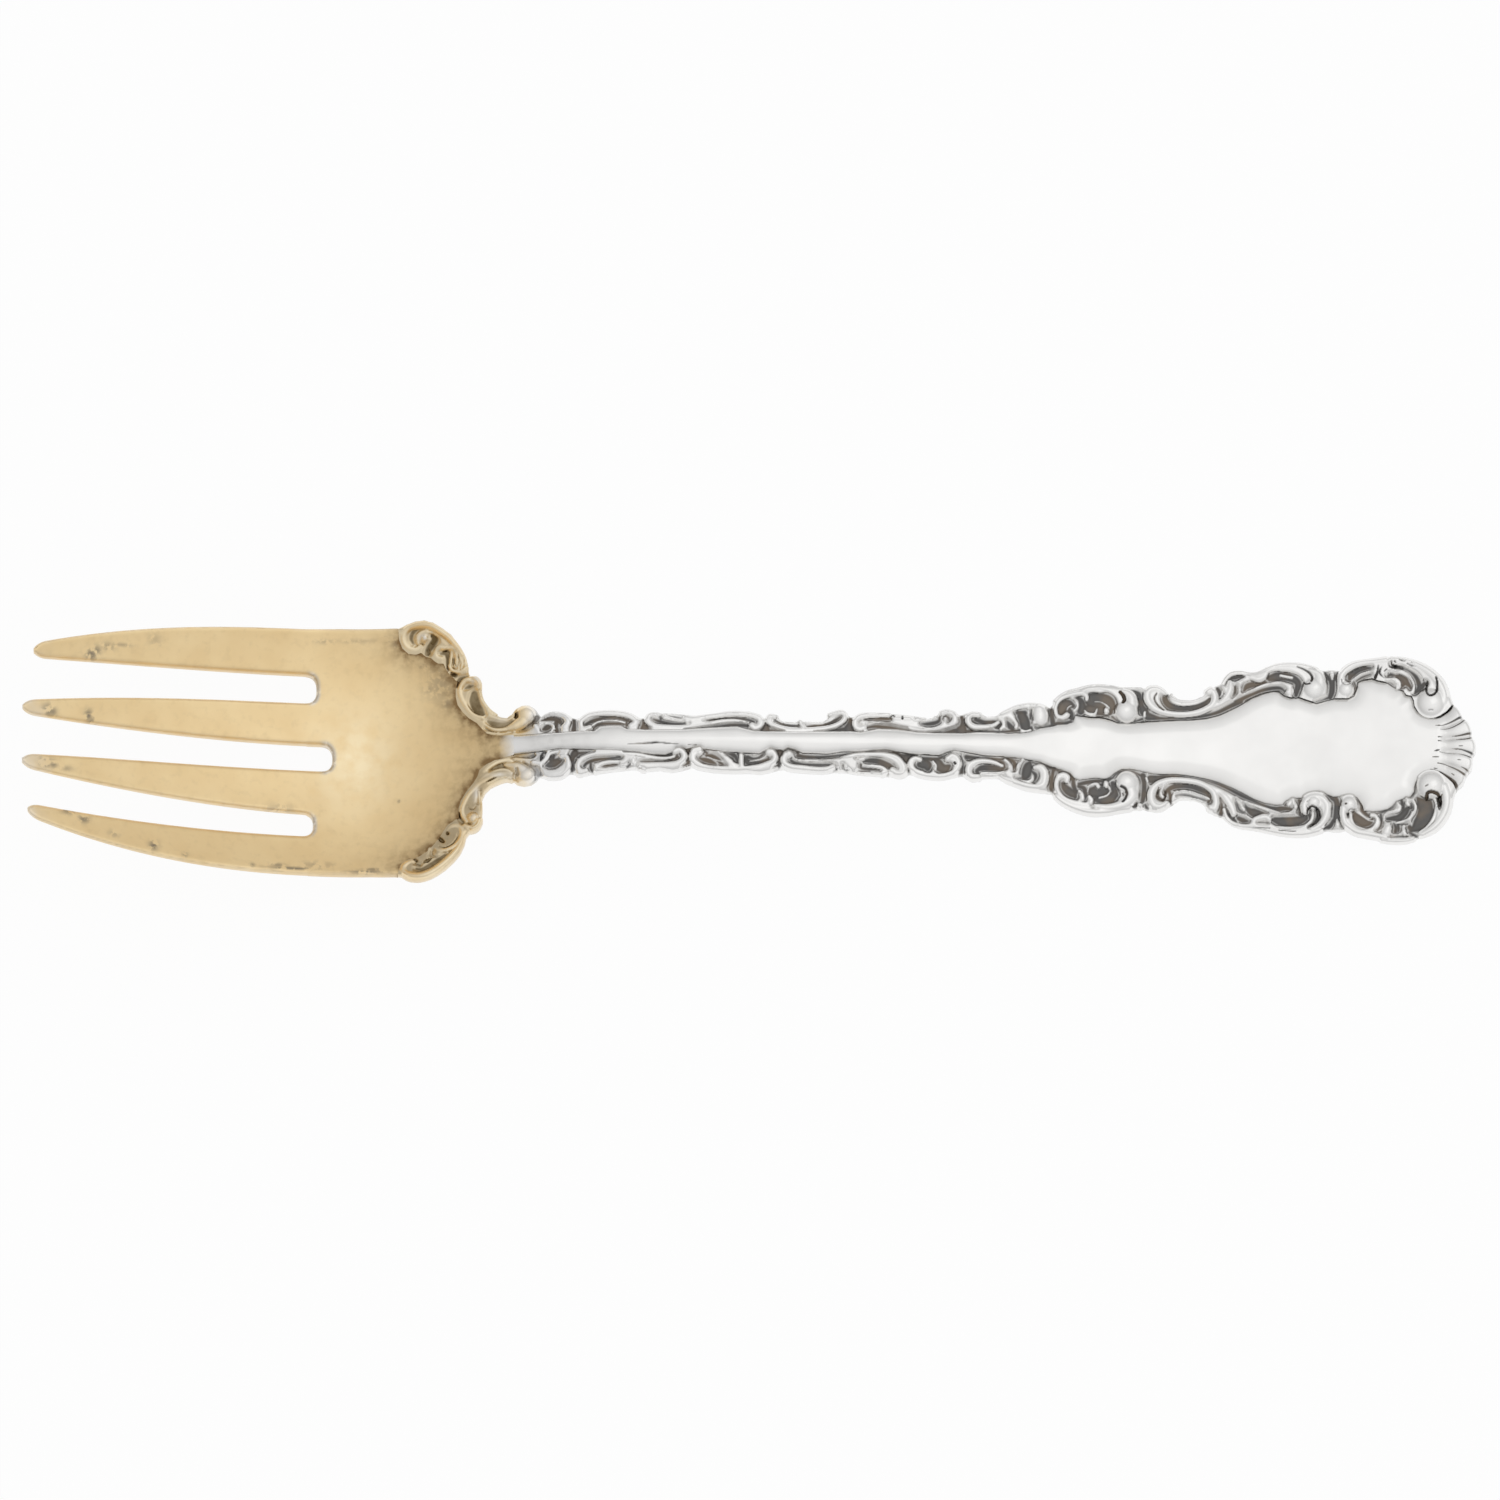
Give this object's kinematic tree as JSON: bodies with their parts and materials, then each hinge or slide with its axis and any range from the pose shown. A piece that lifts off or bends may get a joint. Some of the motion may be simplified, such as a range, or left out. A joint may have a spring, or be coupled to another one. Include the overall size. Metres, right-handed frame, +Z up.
{
  "type": "ramekin fork",
  "caption": "Small silver fork with a dished gilt bowl and tines, a ribbed stem between scroll borders, and a flared panel handle that ends in a fluted shell.",
  "frame": {"origin": "middle of the fork's length and width, on the table that it lies on", "axes": "+X along the fork from the tines to the shell, +Y to the left seen from the handle end looking at the tines' upper face with the handle to the right, +Z up off the table"},
  "size_m": [0.13, 0.024, 0.0143],
  "materials": {
    "gilt_silver": "soft gold wash over silver, worn at the tips",
    "polished_silver": "polished silver with fine wear",
    "oxidised_silver": "darkened ground of the struck borders"
  },
  "bodies": {
    "root": {"outer_left_tine": "gilt_silver", "inner_left_tine": "gilt_silver", "inner_right_tine": "gilt_silver", "outer_right_tine": "gilt_silver", "bowl": "gilt_silver", "left_bowl_scrolls": "gilt_silver", "right_bowl_scrolls": "gilt_silver", "stem_rib": "polished_silver", "left_stem_border": "oxidised_silver", "right_stem_border": "oxidised_silver", "left_stem_scrolls": "polished_silver", "right_stem_scrolls": "polished_silver", "handle_panel": "polished_silver", "left_handle_border": "oxidised_silver", "right_handle_border": "oxidised_silver", "left_knee_scrolls": "polished_silver", "right_knee_scrolls": "polished_silver", "left_waist_scrolls": "polished_silver", "right_waist_scrolls": "polished_silver", "left_flank_scrolls": "polished_silver", "right_flank_scrolls": "polished_silver", "left_crest_scrolls": "polished_silver", "right_crest_scrolls": "polished_silver", "shell": "polished_silver"}
  },
  "joints": []
}
